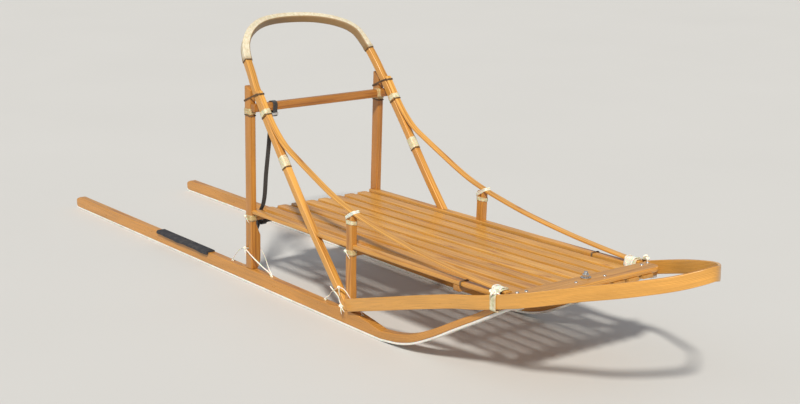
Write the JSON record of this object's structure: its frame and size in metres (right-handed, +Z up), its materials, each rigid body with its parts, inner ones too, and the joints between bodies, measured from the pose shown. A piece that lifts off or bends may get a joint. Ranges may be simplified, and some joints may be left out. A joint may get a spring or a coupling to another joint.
{
  "type": "dog sled",
  "caption": "Wooden stanchion sled with bent runners, slatted bed, driving bow with a rawhide grip, brush bow, rawhide lashings and a hinged claw brake.",
  "frame": {"origin": "middle of the sled's length and width, on the ground under the runner shoes", "axes": "+X towards the nose (brush bow), +Y to the left, +Z up"},
  "size_m": [3.3492, 0.6194, 0.9372],
  "materials": {
    "varnished_wood": "varnished amber ash, satin gloss",
    "shoe_plastic": "white polyethylene, scuffed",
    "pad_rubber": "ribbed charcoal rubber",
    "grip_rawhide": "stitched pale rawhide",
    "lash_rawhide": "tan dried rawhide, slightly translucent",
    "white_rawhide": "off-white rawhide and thong",
    "zinc_steel": "zinc plated",
    "black_steel": "black, semi-gloss, worn",
    "black_webbing": "black elastic webbing"
  },
  "bodies": {
    "sled": {"bed_slat_1": "varnished_wood", "bed_slat_2": "varnished_wood", "bed_slat_3": "varnished_wood", "bed_slat_4": "varnished_wood", "bed_slat_5": "varnished_wood", "bed_slat_6": "varnished_wood", "bed_slat_7": "varnished_wood", "bed_slat_8": "varnished_wood", "board_screw_left": "zinc_steel", "board_screw_right": "zinc_steel", "bow_lashing_left": "lash_rawhide", "bow_lashing_right": "lash_rawhide", "brake_hinge": "black_steel", "brake_strap": "black_webbing", "bridle_bolt": "zinc_steel", "brush_bow": "varnished_wood", "crossbar_lashing_left": "lash_rawhide", "crossbar_lashing_right": "lash_rawhide", "crosspiece_front": "varnished_wood", "crosspiece_nose": "varnished_wood", "crosspiece_rear": "varnished_wood", "diagonal_brace_left": "varnished_wood", "diagonal_brace_right": "varnished_wood", "driving_bow": "varnished_wood", "footpad_left": "pad_rubber", "footpad_right": "pad_rubber", "front_board": "varnished_wood", "front_crosspiece_lashing_left": "lash_rawhide", "front_foot_thong_left": "white_rawhide", "front_stanchion_left": "varnished_wood", "front_crosspiece_lashing_right": "lash_rawhide", "front_foot_thong_right": "white_rawhide", "front_stanchion_right": "varnished_wood", "grip_wrap": "grip_rawhide", "handrail_left": "varnished_wood", "handrail_post_lashing_left": "lash_rawhide", "handrail_rear_lashing_left": "lash_rawhide", "nose_lashing_left": "white_rawhide", "rear_crosspiece_lashing_left": "lash_rawhide", "rear_foot_thong_left": "white_rawhide", "rear_stanchion_left": "varnished_wood", "runner_left": "varnished_wood", "runner_shoe_left": "shoe_plastic", "side_rail_left": "varnished_wood", "splice_wrap_left": "lash_rawhide", "handrail_right": "varnished_wood", "handrail_post_lashing_right": "lash_rawhide", "handrail_rear_lashing_right": "lash_rawhide", "nose_lashing_right": "white_rawhide", "rear_crosspiece_lashing_right": "lash_rawhide", "rear_foot_thong_right": "white_rawhide", "rear_stanchion_right": "varnished_wood", "runner_right": "varnished_wood", "runner_shoe_right": "shoe_plastic", "side_rail_right": "varnished_wood", "splice_wrap_right": "lash_rawhide", "strap_slide": "zinc_steel", "top_crossbar": "varnished_wood"},
    "brake": {"brake_board": "varnished_wood", "brake_claw": "black_steel"}
  },
  "joints": [
    {"name": "brake_hinge", "type": "hinge", "parent": "sled", "child": "brake", "pos_m": [0.3645, 0, 0.2135], "axis": [0, -1, 0], "range_deg": [0, 11], "stiffness_Nm_per_rad": 60, "springref_deg": -14.32, "deforming": ["brake_strap"]}
  ]
}
